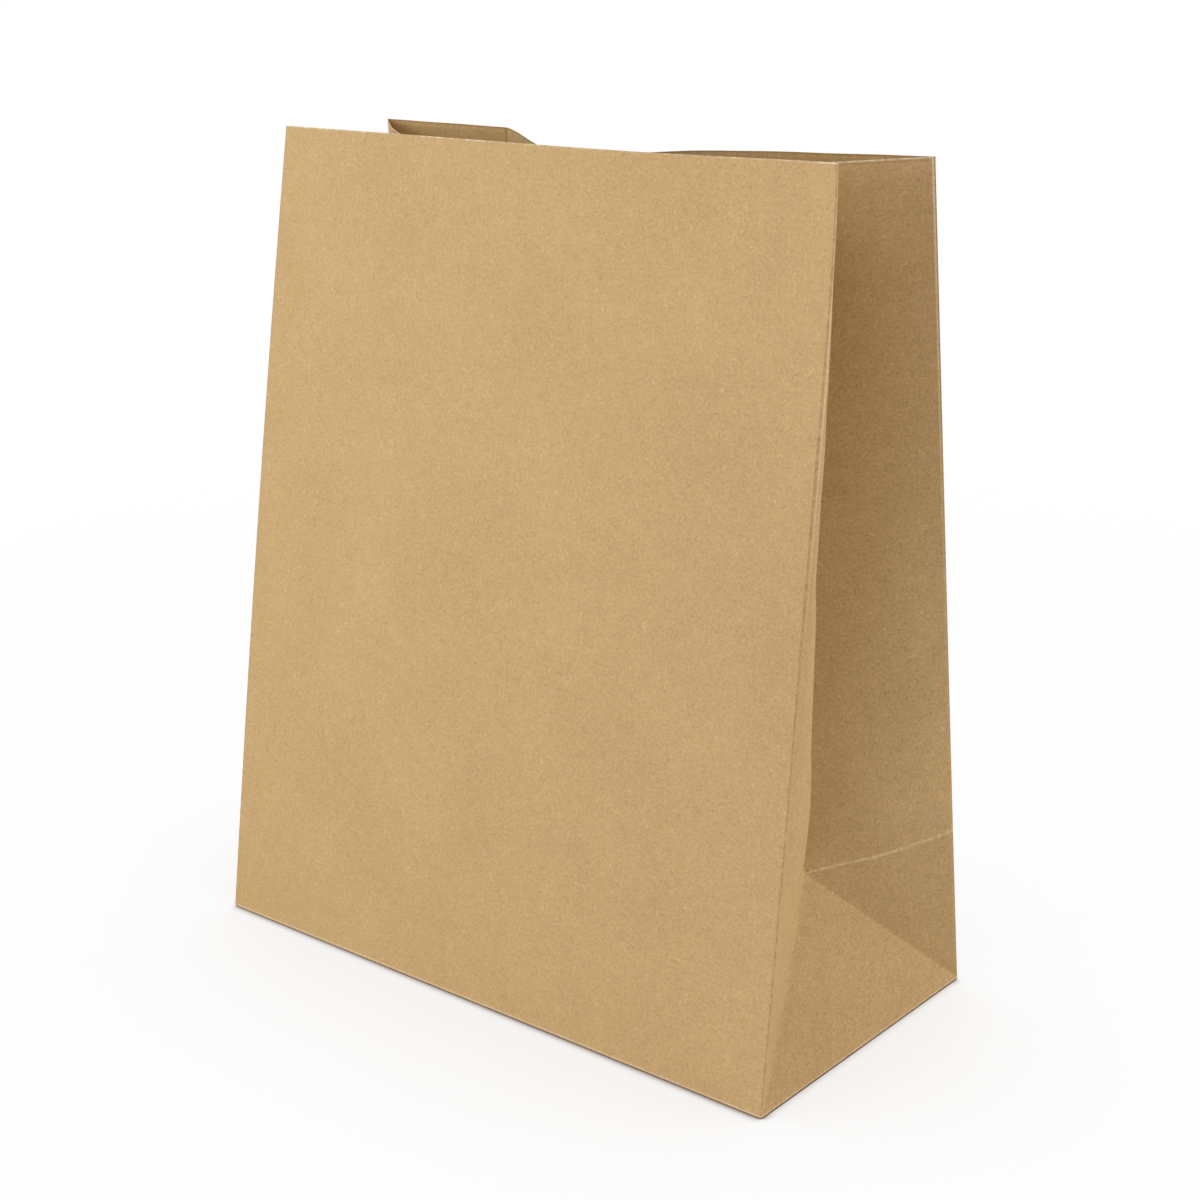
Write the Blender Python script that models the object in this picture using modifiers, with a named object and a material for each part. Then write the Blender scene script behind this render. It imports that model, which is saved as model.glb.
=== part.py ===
# A brown paper lunch bag with a folded flat base, standing open by itself.
# It is one sheet of kraft paper: a glued tube with gusseted sides, whose lower end is folded
# flat into two overlapping flaps, which leaves an upright triangle at the foot of each side.
# Lengths are in metres and angles in degrees. +Z is up and the front wall faces -Y.
# The origin is the middle of the base, in the plane that the bag stands on.

import bmesh
import bpy
import numpy as np

# Flat sizes of the folded sheet
HEIGHT = 0.305            # a wall, from its bottom fold to the mouth
WIDTH = 0.256             # front wall and back wall
DEPTH = 0.126             # side walls, each creased down its middle
PAPER = 0.0002            # one layer of paper
FLAP_LAP = 0.025          # how far the two flaps of the base overlap
FLAP_INSET = 0.0004       # the flaps start this far inside the rounded bottom folds
SEAM_START = 0.150        # lengthwise glued lap of the back wall, from its left fold
SEAM_LAP = 0.020
SEAM_EASE = 0.008         # the paper beside the lap takes this width to settle back
CUT_EDGE = 0.0003         # width given to the step at a cut edge

# How the front wall stands: each front fold leans back and sways sideways
FRONT_LEAN_LEFT = 9.0
FRONT_LEAN_RIGHT = 5.84
FRONT_SWAY_LEFT = -0.23
FRONT_SWAY_RIGHT = -0.34
FOLD_BOW_LEFT = 0.0015    # the fold bows outwards by this much halfway up
FOLD_BOW_RIGHT = 0.0010
FRONT_BULGE = 0.0025      # the middle of the front rim stands proud by this much

# How the back wall stands: it leans forwards, and more above its level crease
BACK_FOOT_LEAN_LEFT = 10.5
BACK_FOOT_LEAN_RIGHT = 8.0
BACK_LEAN = 6.51          # left back fold, above the crease
BACK_SWAY = 3.06

# Plan of the back wall's rim, as headings from +X. It keeps a crease where each folded gusset
# lay against it, and its middle is pushed in.
RIM_DENT = 0.0436         # straight stretch that runs inwards from the left crease
RIM_BEND = 0.030          # soft bend at the end of that stretch
HEADING_LEFT = -1.3
HEADING_DENT = -33.2
HEADING_AFTER_BEND = 22.5
HEADING_MIDDLE = 10.0     # where the middle reaches the right crease
HEADING_RIGHT = 6.1

# Gussets: arc of each half at the mouth, and how the crease between them runs
BOW_FRONT_LEFT = 10.0     # half the angle that the rim of the half turns through
BOW_BACK_LEFT = 5.0
BOW_FRONT_RIGHT = 18.0
BOW_BACK_RIGHT = 3.0
CREASE_BOW_IN = 0.003     # halfway up, the crease lies this much deeper in the bag
CREASE_BOW_FORWARD = 0.004
BACK_BOW_SHARE = 0.5      # part of the spare width of a back half that shows as a bow
BOW_ONSET = 0.060         # above the foot triangle a half takes this height to reach its bow

# Fineness of the surface
ROWS_FOOT = 4
ROWS_WALL = 12
COLUMNS_HALF = 6
COLUMNS_FRONT = 14
COLUMNS_FLANK = 4
COLUMNS_DENT = 3
COLUMNS_BEND = 4
COLUMNS_MIDDLE = 4
RIM_STEPS = 1024          # steps in which the rim's path is walked

HALF = DEPTH / 2          # width of half a gusset, and the height of the foot triangles
FLOOR_LAYERS = 2          # the flaps lie under the innermost layer of the base
FLAP_ROOT = 0.5           # part of a layer by which a flap is let into the one above it
MERGE = 0.000001          # corners this close are one corner
FLATTEST_BOW = 0.0001     # radians, so that a flat half is still an arc
LARGEST_SPARE = 0.8       # the arc's series holds up to here


def standing(base, length, lean, sway):
    # The far end of a straight fold of this length: lean turns it to +Y, sway to +X.
    across = length * np.sin(np.radians(sway))
    back = length * np.sin(np.radians(lean))
    return base + np.array([across, back, np.sqrt(length ** 2 - across ** 2 - back ** 2)])


def meeting_point(centres, distances, inward):
    # The point at these distances from three others, on the side that inward points to.
    first, second, third = centres
    along = (second - first) / np.linalg.norm(second - first)
    third_along = along @ (third - first)
    across = third - first - third_along * along
    across /= np.linalg.norm(across)
    third_across = across @ (third - first)
    gap = np.linalg.norm(second - first)
    d1, d2, d3 = distances
    x = (d1 ** 2 - d2 ** 2 + gap ** 2) / (2 * gap)
    to_third = third_along ** 2 + third_across ** 2
    y = (d1 ** 2 - d3 ** 2 + to_third - 2 * third_along * x) / (2 * third_across)
    upright = np.cross(along, across)
    upright *= np.sign(upright @ inward)
    return first + x * along + y * across + np.sqrt(d1 ** 2 - x ** 2 - y ** 2) * upright


def arc_chord(width, half_angle):
    # The chord of a strip of this width that is bent to an arc.
    angle = np.radians(half_angle)
    return width * np.sin(angle) / angle


def blend(start, end, share):
    return start + (end - start) * np.asarray(share)[..., None]


class Side:
    # One gusseted side: its folds, its crease and the apex of its foot triangle.
    def __init__(self, sign, front_lean, front_sway, fold_bow, foot_lean):
        self.sign = sign
        base = PAPER * FLOOR_LAYERS
        self.front_base = np.array([sign * WIDTH / 2, -HALF, base])
        self.back_base = np.array([sign * WIDTH / 2, HALF, base])
        self.front_top = standing(self.front_base, HEIGHT, front_lean, front_sway)
        self.fold_bow = fold_bow
        front_knee = blend(self.front_base, self.front_top, HALF / HEIGHT)
        diagonal = HALF * np.sqrt(2)
        self.inward = np.array([-sign, 0.0, 0.0])
        self.apex = meeting_point((self.front_base, self.back_base, front_knee),
                                  (diagonal, diagonal, HALF), self.inward)
        self.back_knee = standing(self.back_base, HALF, -foot_lean, 0.0)

    def close_mouth(self, back_top, front_bow, back_bow):
        self.back_top = back_top
        distances = (arc_chord(HALF, front_bow), arc_chord(HALF, back_bow), HEIGHT - HALF)
        self.crease_top = meeting_point((self.front_top, back_top, self.apex), distances, self.inward)

    def front_fold(self, v):
        share = v / HEIGHT
        points = blend(self.front_base, self.front_top, share)
        points[..., 0] += self.sign * self.fold_bow * 4 * share * (1 - share)
        return points

    def back_fold(self, v):
        foot = blend(self.back_base, self.back_knee, v / HALF)
        wall = blend(self.back_knee, self.back_top, (v - HALF) / (HEIGHT - HALF))
        return np.where((v < HALF)[..., None], foot, wall)

    def crease(self, v, corner):
        # Below the apex the edge of the half is the diagonal fold to its bottom corner.
        share = (v - HALF) / (HEIGHT - HALF)
        bow = np.array([-self.sign * CREASE_BOW_IN, -CREASE_BOW_FORWARD, 0.0])
        upper = blend(self.apex, self.crease_top, share) + (4 * share * (1 - share))[..., None] * bow
        return np.where((v < HALF)[..., None], blend(corner, self.apex, v / HALF), upper)


def half_gusset(fold, crease, v, outward, bow_share):
    # Each level of the half is an arc as long as the paper is wide, bowed to the outside.
    width = np.minimum(v, HALF)
    chord = crease - fold
    length = np.linalg.norm(chord, axis=1)
    spare = np.clip(1 - length / np.maximum(width, PAPER), 0.0, LARGEST_SPARE)
    # sin(a) / a = 1 - spare, solved for a from the first terms of its series
    angle = bow_share * np.sqrt(10 - np.sqrt(100 - 120 * spare))
    onset = np.clip((v - HALF) / BOW_ONSET, 0.0, 1.0)
    angle = angle * onset ** 2 * (3 - 2 * onset) + FLATTEST_BOW
    side = np.cross(chord, (0.0, 0.0, 1.0))
    side *= np.sign(side @ outward)[:, None]
    place = np.linspace(-1, 1, COLUMNS_HALF + 1)[None, :] * angle[:, None]
    along = 0.5 + np.sin(place) / (2 * np.sin(angle))[:, None]
    rise = (np.cos(place) - np.cos(angle)[:, None]) / (2 * np.sin(angle))[:, None]
    return fold[:, None] + along[..., None] * chord[:, None] + rise[..., None] * side[:, None]


def rim_stops():
    # Distances along the back rim at which a new stretch starts.
    bend = HALF + RIM_DENT
    return np.array([0.0, HALF, bend, bend + RIM_BEND, WIDTH - HALF, WIDTH])


def rim_plan():
    # The rim's path seen from above, walked in short steps along its changing heading.
    start, dent, bend, middle, flank, end = rim_stops()
    stops = (start, dent, dent, bend, middle, flank, flank, end)
    headings = (HEADING_LEFT, HEADING_LEFT, HEADING_DENT, HEADING_DENT,
                HEADING_AFTER_BEND, HEADING_MIDDLE, HEADING_RIGHT, HEADING_RIGHT)
    walked = np.linspace(start, end, RIM_STEPS + 1)
    heading = np.radians(np.interp((walked[1:] + walked[:-1]) / 2, stops, headings))
    step = np.stack([np.cos(heading), np.sin(heading)], 1) * (end - start) / RIM_STEPS
    return walked, np.concatenate([np.zeros((1, 2)), np.cumsum(step, 0)])


def back_rim(u, left, right):
    # The wall above the level crease keeps its height, so where it is pushed in it ends lower.
    walked, plan = rim_plan()
    start = standing(left.back_knee, HEIGHT - HALF, -BACK_LEAN, BACK_SWAY)
    below = blend(left.back_knee, right.back_knee, u / WIDTH)
    x = start[0] + np.interp(u, walked, plan[:, 0])
    y = start[1] + np.interp(u, walked, plan[:, 1])
    rise = np.sqrt((HEIGHT - HALF) ** 2 - (x - below[:, 0]) ** 2 - (y - below[:, 1]) ** 2)
    return np.stack([x, y, below[:, 2] + rise], 1)


def wall_levels():
    foot = np.linspace(0.0, HALF, ROWS_FOOT + 1)
    wall = np.linspace(HALF, HEIGHT, ROWS_WALL + 1)
    return np.concatenate([foot, wall[1:]])


def front_wall(left, right, v):
    u = np.linspace(0.0, 1.0, COLUMNS_FRONT + 1)
    points = blend(left.front_fold(v)[:, None], right.front_fold(v)[:, None], u[None, :])
    bulge = np.sin(np.pi / 2 * v / HEIGHT)[:, None] * np.sin(np.pi * u)[None, :]
    points[..., 1] -= FRONT_BULGE * bulge
    return points


def back_columns():
    # Columns at every turn of the rim and at the edges of the glued lap, with the number of
    # layers there and how far the outer face is lifted.
    stops = rim_stops()
    counts = (COLUMNS_FLANK, COLUMNS_DENT, COLUMNS_BEND, COLUMNS_MIDDLE, COLUMNS_FLANK)
    u = [np.linspace(a, b, n + 1)[:-1] for a, b, n in zip(stops[:-1], stops[1:], counts)]
    end = SEAM_START + SEAM_LAP
    seam = np.array([SEAM_START - CUT_EDGE, SEAM_START, end, end + CUT_EDGE, end + SEAM_EASE])
    lift = np.array([0.0, PAPER, PAPER, PAPER, 0.0])
    u = np.concatenate(u + [[WIDTH]])
    clear = (u < seam[0] - SEAM_EASE / 2) | (u > seam[-1] + SEAM_EASE / 2) | np.isin(u, stops)
    u = np.sort(np.concatenate([u[clear], seam]))
    layers = np.where((u >= SEAM_START) & (u <= end), 2.0, 1.0)
    return u, layers, np.interp(u, seam, lift)


def back_wall(left, right, v, u, lift):
    bottom = blend(left.back_base, right.back_base, u / WIDTH)
    knee = blend(left.back_knee, right.back_knee, u / WIDTH)
    rim = back_rim(u, left, right)
    foot = blend(bottom[None], knee[None], (v / HALF)[:, None])
    wall = blend(knee[None], rim[None], ((v - HALF) / (HEIGHT - HALF))[:, None])
    points = np.where((v < HALF)[:, None, None], foot, wall)
    points[..., 1] += lift
    return points


def foot_triangle(side, v):
    share = v[v <= HALF] / HALF
    front = blend(side.front_base, side.apex, share)
    back = blend(side.back_base, side.apex, share)
    return blend(front[:, None], back[:, None], np.linspace(0.0, 1.0, 2 * COLUMNS_HALF + 1)[None, :])


def add_patch(bm, points, layers=None):
    # Rows run upwards and columns to the right, seen from outside the bag.
    weights = bm.verts.layers.deform.verify()
    rows, columns = points.shape[:2]
    layers = np.ones(columns) if layers is None else layers
    verts = [[bm.verts.new(p) for p in row] for row in points]
    for row in verts:
        for vert, count in zip(row, layers):
            vert[weights][0] = count / FLOOR_LAYERS
    for r in range(rows - 1):
        for c in range(columns - 1):
            corners = (verts[r][c], verts[r][c + 1], verts[r + 1][c + 1], verts[r + 1][c])
            bm.faces.new(corners)
    return verts


def sheet_mesh():
    left = Side(-1, FRONT_LEAN_LEFT, FRONT_SWAY_LEFT, FOLD_BOW_LEFT, BACK_FOOT_LEAN_LEFT)
    right = Side(1, FRONT_LEAN_RIGHT, FRONT_SWAY_RIGHT, FOLD_BOW_RIGHT, BACK_FOOT_LEAN_RIGHT)
    corners = back_rim(np.array([0.0, WIDTH]), left, right)
    left.close_mouth(corners[0], BOW_FRONT_LEFT, BOW_BACK_LEFT)
    right.close_mouth(corners[1], BOW_FRONT_RIGHT, BOW_BACK_RIGHT)

    v = wall_levels()
    u, layers, lift = back_columns()
    bm = bmesh.new()
    add_patch(bm, front_wall(left, right, v))
    add_patch(bm, back_wall(left, right, v, u, lift)[:, ::-1], layers[::-1])
    for side in (left, right):
        front_outward = np.array([side.sign, 1.0, 0.0])
        back_outward = np.array([side.sign, -1.0, 0.0])
        front = half_gusset(side.front_fold(v), side.crease(v, side.front_base), v,
                            front_outward, 1.0)
        back = half_gusset(side.back_fold(v), side.crease(v, side.back_base), v,
                           back_outward, BACK_BOW_SHARE)
        triangle = foot_triangle(side, v)
        if side is right:
            patches = (front, back[:, ::-1], triangle)
        else:
            patches = (front[:, ::-1], back, triangle[:, ::-1])
        for points in patches:
            add_patch(bm, points)
    bmesh.ops.remove_doubles(bm, verts=bm.verts, dist=MERGE)

    # The innermost layer of the base closes the loop of bottom folds.
    level = PAPER * FLOOR_LAYERS + MERGE
    folds = [e for e in bm.edges if e.is_boundary and max(p.co.z for p in e.verts) < level]
    floor = bmesh.ops.contextual_create(bm, geom=folds)["faces"]
    for face in floor:
        face.normal_update()
        if face.normal.z > 0:
            face.normal_flip()
    mesh = bpy.data.meshes.new("paper_bag")
    bm.to_mesh(mesh)
    bm.free()
    return mesh


def kraft_paper():
    material = bpy.data.materials.new("kraft_paper")
    material.use_nodes = True
    shader = material.node_tree.nodes["Principled BSDF"]
    shader.inputs["Base Color"].default_value = (0.50, 0.34, 0.18, 1.0)
    shader.inputs["Roughness"].default_value = 0.85
    shader.inputs["Metallic"].default_value = 0.0
    return material


def base_flap(name, toward, layers, guides):
    # A trapezoid from one bottom fold to just past the middle; its ends are diagonal folds.
    reach = HALF + FLAP_LAP / 2
    fold = WIDTH / 2 - FLAP_INSET
    tip = WIDTH / 2 - reach
    near = toward * (FLAP_INSET - HALF)
    far = toward * FLAP_LAP / 2
    level = PAPER * (FLOOR_LAYERS - layers)
    outline = [(-fold, near, level), (fold, near, level), (tip, far, level), (-tip, far, level)]
    mesh = bpy.data.meshes.new(name)
    mesh.from_pydata(outline, [], [(3, 2, 1, 0) if toward > 0 else (0, 1, 2, 3)])
    flap = bpy.data.objects.new(name, mesh)
    guides.objects.link(flap)
    solidify = flap.modifiers.new("layers", "SOLIDIFY")
    solidify.thickness = PAPER * (layers + FLAP_ROOT)
    solidify.offset = -1.0
    flap.display_type = "WIRE"
    flap.hide_render = True
    return flap


def main():
    for old in list(bpy.data.objects):
        bpy.data.objects.remove(old, do_unlink=True)
    scene = bpy.context.scene
    parts = bpy.data.collections.new("brown_paper_lunch_bag")
    guides = bpy.data.collections.new("guides")
    scene.collection.children.link(parts)
    scene.collection.children.link(guides)

    bag = bpy.data.objects.new("paper_bag", sheet_mesh())
    parts.objects.link(bag)
    bag.vertex_groups.new(name="layers")
    bag.data.materials.append(kraft_paper())

    solidify = bag.modifiers.new("paper", "SOLIDIFY")
    solidify.thickness = PAPER * FLOOR_LAYERS
    solidify.offset = -1.0
    solidify.use_even_offset = True
    solidify.use_quality_normals = True
    solidify.vertex_group = "layers"

    # The back flap goes under the base first, and the front flap is glued over it.
    for name, toward, layers in (("back_flap", -1, 1), ("front_flap", 1, 2)):
        union = bag.modifiers.new(name, "BOOLEAN")
        union.operation = "UNION"
        union.object = base_flap(name, toward, layers, guides)


main()
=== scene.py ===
import bmesh
import bpy
import numpy as np
from mathutils import Matrix, Vector


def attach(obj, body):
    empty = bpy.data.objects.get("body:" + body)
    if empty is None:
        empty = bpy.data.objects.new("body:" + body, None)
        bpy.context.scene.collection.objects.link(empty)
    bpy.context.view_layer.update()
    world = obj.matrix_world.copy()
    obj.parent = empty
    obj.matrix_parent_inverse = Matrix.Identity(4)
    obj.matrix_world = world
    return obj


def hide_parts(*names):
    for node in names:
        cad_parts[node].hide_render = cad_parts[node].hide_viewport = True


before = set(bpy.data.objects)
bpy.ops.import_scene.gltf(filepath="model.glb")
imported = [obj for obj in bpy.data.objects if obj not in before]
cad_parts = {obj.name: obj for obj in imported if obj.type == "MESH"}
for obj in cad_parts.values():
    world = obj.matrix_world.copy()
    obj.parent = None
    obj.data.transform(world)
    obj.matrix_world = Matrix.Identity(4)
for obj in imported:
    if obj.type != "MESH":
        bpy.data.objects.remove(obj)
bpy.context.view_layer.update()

# Metres and degrees throughout. The bag's front wall faces -Y and it stands on z = 0.

bag = {
    "height": 0.305,            # a wall, from its bottom fold to the mouth
    "width": 0.256,
    "depth": 0.126,             # side walls, creased down their middle
    "paper": 0.0002,
    "baseLevel": 0.0004,        # the two glued flaps lie under the base
    "frontLean": (9.0, 5.84),   # left and right front fold
    "frontSway": (-0.23, -0.34),
    "foldBow": (0.0015, 0.0010),
    "foldFlare": (0.0, 0.0011),   # near the mouth the front fold stands out by this much more
    "frontBulge": 0.0025,       # of the front wall at the mouth
    "frontBelly": 0.0027,       # and more of it halfway up, largest right of the middle
    "bellySkew": 1.35,
    "rimDip": 0.0005,           # the front wall's cut edge is this much lower right of the middle
    "dipSkew": 1.75,
    "dipReach": 0.03,
    "footLean": (10.5, 8.0),    # back wall below its level crease
    "backLean": 6.51,
    "backSway": 3.06,
    "rimDent": 0.0436,          # plan of the back rim: a straight push inwards, then a soft bend
    "rimBend": 0.030,
    "headings": (-1.3, -33.2, 22.5, 10.0, 6.1),
    "rimSteps": 2048,           # short steps in which that plan is walked
    "bows": ((10.0, 5.0), (18.0, 3.0)),   # arc of each gusset half at the mouth
    "leastBow": 0.0001,         # radians, so that no arc is quite flat
    "mostSpare": 0.8,           # share of its width that an arc may lose
    "backBowShare": 0.5,
    "bowOnset": 0.014,
    "creaseIn": 0.003,          # bow of the crease down a gusset's middle
    "creaseForward": 0.004,
    "creaseSag": 0.0016,        # the level crease dips by this much across the right gusset
    "sagReach": 0.009,
    "sagSkew": 0.7,             # under 1 puts its deepest place nearer the back fold
    "rollWidth": 0.0045,        # beside the right front fold the gusset keeps the roll of its fold
    "rollLevels": (0.42, 0.54, 0.63, 0.71, 0.79, 0.88, 1.0),
    "rollSizes": (0.0, 0.9, 1.4, 1.9, 1.8, 1.2, 1.1),   # millimetres, at those shares of the height
    "hollow": 0.004,            # near the mouth the left gusset's back half is drawn in this far,
    "hollowStart": 0.012,       # beginning a little way off its fold
    "hollowRise": (2.2, 1.2),   # slope and drop of its growth with the share of the height
    "seamStart": 0.150,         # glued lap of the back wall, from its left fold
    "seamLap": 0.020,
    "seamEase": 0.008,
    "cutEdge": 0.0003,
    "flapLap": 0.025,
    "flapLevels": (0.00003, 0.00022),     # the outer flap, then the one that it covers
    "flapInset": 0.00012,       # where a flap starts, inside its bottom fold
    "flapTurn": 0.0004,         # how far it runs while it turns under
    "flapFlat": 0.004,
    "flapRise": 0.0001,         # and it starts this far above the base
    "flapEnd": 0.0003,          # its ends stay this far inside the base's outline
    "flapSteps": (6, 24, 88),   # lines in the turn, along the flat part and across
    "turnUnder": (0.0016, 0.0009, 0.0005, 0.00025, 0.0),   # rows of the base inside its outline
    "step": 0.0029,             # spacing of the surface's lines
    "close": (0.00014, 0.00034, 0.0006, 0.0011),   # extra lines beside each fold,
    "closeReach": 0.0021,       # and the evenly spread ones keep clear of them
    "lineGap": 0.0006,          # and these of the lines along the glued lap
    "foldRadius": 0.00042,      # how soft a fold is
    "softDiagonal": 0.0036,     # and the front diagonal of a foot triangle, at its softest
    "softReach": 1.6,           # over this many times that radius it goes back to the usual one
    "softRise": 0.8,
    "rings": (1 / 3, 2 / 3, 1.0),         # shares of that radius over which a fold is averaged
    "ringPlaces": 12,
    "probe": 0.001,             # step that finds which way the surface faces
    "cockle": 0.00022,          # height of the slow waves in the sheet
    "cockleWaves": 22,
    "cockleLengths": (0.022, 0.085),
    "cockleUsual": 0.06,        # a wave of this length has the height given above
    "cockleTurn": 0.5,          # radians off the sheet's own directions
    "cockleFade": 0.014,        # from the folds
    "cockleRise": 0.02,         # from the bottom
    "calmRim": (0.4, 0.01),     # loss of those waves at the mouth, and how far down it reaches
    "rimWave": 0.00035,
    "rimWaveReach": 0.012,
    "rimRipples": ((190, 1.0), (83, 0.0)),   # turns per metre in radians, and start
    "seed": 11,
}
halfDepth = bag["depth"] / 2
period = bag["width"] + bag["depth"]      # one wall and one gusset
around = 2 * period
baseZ = bag["baseLevel"]
# small amounts: off the sheet's very end, off a width of nothing, off a normal of no length
hair, sliver, speck = 1e-9, 1e-6, 1e-12


def between(start, end, share):
    return start + (end - start) * np.asarray(share)[..., None]


def eased(share):
    # 0 to 1 with a flat start and end: 3 s^2 - 2 s^3
    return share ** 2 * (3 - 2 * share)


def moved(points, direction, size):
    # each point moved by its size along its direction, whatever the direction's length
    length = np.maximum(np.linalg.norm(direction, axis=1), hair)
    return points + direction * (size / length)[:, None]


def standing(base, length, lean, sway):
    # far end of a straight fold of this length: lean turns it to +Y, sway to +X
    across = length * np.sin(np.radians(sway))
    back = length * np.sin(np.radians(lean))
    return base + np.array([across, back, np.sqrt(length ** 2 - across ** 2 - back ** 2)])


def meetingPoint(centres, distances, inward):
    # the point at three distances from three others: two along one axis, the third across it
    first, second, third = centres
    gap = np.linalg.norm(second - first)
    along = (second - first) / gap
    thirdAlong = along @ (third - first)
    across = third - first - thirdAlong * along
    across /= np.linalg.norm(across)
    thirdAcross = across @ (third - first)
    d1, d2, d3 = distances
    x = (d1 ** 2 - d2 ** 2 + gap ** 2) / (2 * gap)
    toThird = thirdAlong ** 2 + thirdAcross ** 2
    y = (d1 ** 2 - d3 ** 2 + toThird - 2 * thirdAlong * x) / (2 * thirdAcross)
    upright = np.cross(along, across)
    upright *= np.sign(upright @ inward)
    return first + x * along + y * across + np.sqrt(d1 ** 2 - x ** 2 - y ** 2) * upright


def arcChord(width, halfAngle):
    angle = np.radians(halfAngle)
    return width * np.sin(angle) / angle


class Gusset:
    # one side of the bag: two folds, the crease between them and the apex of its foot triangle
    def __init__(self, index):
        self.sign = (-1, 1)[index]
        edge = self.sign * bag["width"] / 2
        self.frontBase = np.array([edge, -halfDepth, baseZ])
        self.backBase = np.array([edge, halfDepth, baseZ])
        lean, sway = bag["frontLean"][index], bag["frontSway"][index]
        self.frontTop = standing(self.frontBase, bag["height"], lean, sway)
        self.bow = bag["foldBow"][index]
        self.flare = bag["foldFlare"][index]
        knee = between(self.frontBase, self.frontTop, halfDepth / bag["height"])
        diagonal = halfDepth * np.sqrt(2)
        self.inward = np.array([-self.sign, 0.0, 0.0])
        corners = (self.frontBase, self.backBase, knee)
        self.apex = meetingPoint(corners, (diagonal, diagonal, halfDepth), self.inward)
        self.backKnee = standing(self.backBase, halfDepth, -bag["footLean"][index], 0.0)

    def closeMouth(self, backTop, bows):
        self.backTop = backTop
        front, back = (arcChord(halfDepth, bow) for bow in bows)
        reach = (front, back, bag["height"] - halfDepth)
        self.creaseTop = meetingPoint((self.frontTop, backTop, self.apex), reach, self.inward)

    def frontFold(self, v):
        share = v / bag["height"]
        points = between(self.frontBase, self.frontTop, share)
        # a parabola, and a second bow whose peak, at eight ninths of the height, is 1
        flare = np.clip(share, 0, 1) ** 8 * (1 - share) * 9 ** 9 / 8 ** 8
        points[..., 0] += self.sign * (self.bow * 4 * share * (1 - share) + self.flare * flare)
        return points

    def backFold(self, v):
        foot = between(self.backBase, self.backKnee, v / halfDepth)
        wall = between(self.backKnee, self.backTop, (v - halfDepth) / (bag["height"] - halfDepth))
        return np.where((v < halfDepth)[..., None], foot, wall)

    def crease(self, v, corner):
        # below the apex the half ends at the diagonal fold to its bottom corner
        share = (v - halfDepth) / (bag["height"] - halfDepth)
        bow = np.array([-self.sign * bag["creaseIn"], -bag["creaseForward"], 0.0])
        bowed = (4 * share * (1 - share))[..., None] * bow
        upper = between(self.apex, self.creaseTop, share) + bowed
        foot = between(corner, self.apex, v / halfDepth)
        return np.where((v < halfDepth)[..., None], foot, upper)

    def half(self, w, v, back):
        # Each level is an arc as long as the paper is wide. Chord over width is sin(a) / a, or
        # 1 - a^2 / 6 + a^4 / 120 nearly, which is solved for a.
        fold = self.backFold(v) if back else self.frontFold(v)
        crease = self.crease(v, self.backBase if back else self.frontBase)
        width = np.clip(v, sliver, halfDepth)
        chord = crease - fold
        shortening = 1 - np.linalg.norm(chord, axis=1) / np.maximum(width, bag["paper"])
        spare = np.clip(shortening, 0.0, bag["mostSpare"])
        angle = (bag["backBowShare"] if back else 1.0) * np.sqrt(10 - np.sqrt(100 - 120 * spare))
        onset = np.clip((v - halfDepth) / bag["bowOnset"], 0.0, 1.0)
        angle = angle * eased(onset) + bag["leastBow"]
        side = np.cross(chord, (0.0, 0.0, 1.0))
        outward = np.array([self.sign, -1.0 if back else 1.0, 0.0])
        side *= np.sign(side @ outward)[:, None]
        place = (2 * np.clip(w / width, 0, 1) - 1) * angle
        along = 0.5 + np.sin(place) / (2 * np.sin(angle))
        rise = (np.cos(place) - np.cos(angle)) / (2 * np.sin(angle))
        points = fold + along[:, None] * chord + rise[:, None] * side
        if self.sign > 0 and not back:
            # the roll rises to its full size one roll width from the fold and dies away behind it
            size = np.interp(v / bag["height"], bag["rollLevels"], bag["rollSizes"]) * 0.001
            reach = w / bag["rollWidth"]
            size = size * reach * np.exp(1 - reach) * np.clip(1 - w / halfDepth, 0, 1)
            points = moved(points, side, size)
        if self.sign < 0 and back:
            # a squared sine across the half, which dies away down the upper part of the bag
            reach = np.clip((w - bag["hollowStart"]) / (halfDepth - bag["hollowStart"]), 0, 1)
            slope, drop = bag["hollowRise"]
            growth = np.clip(v / bag["height"] * slope - drop, 0, 1)
            points = moved(points, side, -bag["hollow"] * growth * np.sin(np.pi * reach) ** 2)
        return points

    def triangle(self, w, v, back):
        # flat, so its points are a sum of steps along its base and towards its apex
        near, far = (self.backBase, self.frontBase) if back else (self.frontBase, self.backBase)
        up = (v / halfDepth)[:, None] * (self.apex - near)
        return near + up + ((w - v) / bag["depth"])[:, None] * (far - near)


def rimPlan():
    # the back rim seen from above, walked in short steps along its changing heading
    bend = halfDepth + bag["rimDent"]
    flank = bag["width"] - halfDepth
    stops = (0, halfDepth, halfDepth, bend, bend + bag["rimBend"], flank, flank, bag["width"])
    first, dent, after, middle, last = bag["headings"]
    turns = (first, first, dent, dent, after, middle, last, last)
    walked = np.linspace(0, bag["width"], bag["rimSteps"] + 1)
    heading = np.radians(np.interp((walked[1:] + walked[:-1]) / 2, stops, turns))
    step = np.stack([np.cos(heading), np.sin(heading)], 1) * bag["width"] / bag["rimSteps"]
    return walked, np.concatenate([np.zeros((1, 2)), np.cumsum(step, 0)])


left, right = Gusset(0), Gusset(1)
rimWalked, rimPath = rimPlan()
rimStart = standing(left.backKnee, bag["height"] - halfDepth, -bag["backLean"], bag["backSway"])


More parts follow.
